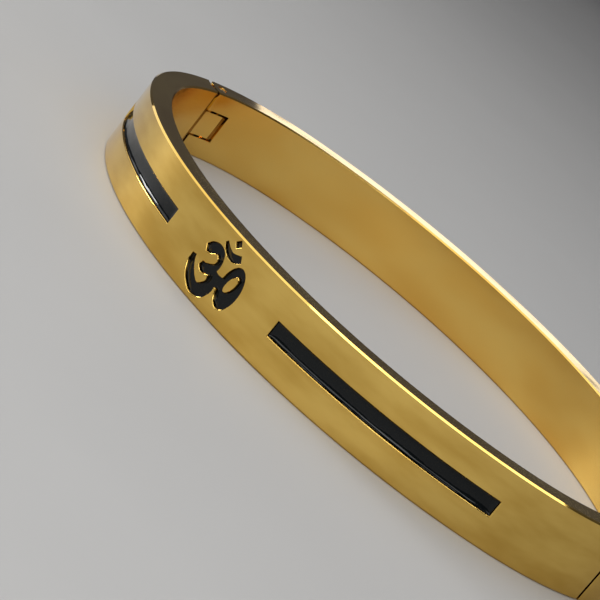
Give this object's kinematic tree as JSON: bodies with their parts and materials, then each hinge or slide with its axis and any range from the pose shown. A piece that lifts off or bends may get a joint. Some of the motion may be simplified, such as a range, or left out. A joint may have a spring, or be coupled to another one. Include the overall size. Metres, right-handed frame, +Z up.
{
  "type": "kada bangle",
  "caption": "Oval openable kada bangle in polished gold-plated brass, with a hinge, a hidden clasp tongue, and an Om and side bars in sunk black enamel.",
  "frame": {"origin": "middle of the oval, on the plane that the lower rim rests on", "axes": "+X along the oval's long axis from the hinge to the clasp, +Y from the front with the Om to the back, +Z up through the wrist opening"},
  "size_m": [0.0648, 0.0548, 0.007],
  "materials": {
    "band_gold": "mirror polished gold plate",
    "fitting_gold": "satin gold plate",
    "enamel": "glossy black enamel"
  },
  "bodies": {
    "front": {"front_half": "band_gold", "clasp_tongue": "fitting_gold", "om_enamel": "enamel", "om_crescent_enamel": "enamel", "om_dot_enamel": "enamel", "left_bar_enamel": "enamel", "right_bar_enamel": "enamel"},
    "back": {"back_half": "band_gold", "hinge_pin": "fitting_gold"}
  },
  "joints": [
    {"name": "hinge", "type": "hinge", "parent": "front", "child": "back", "pos_m": [-0.0312, 0, 0.0035], "axis": [0, 0, 1], "range_deg": [0, 60]}
  ]
}
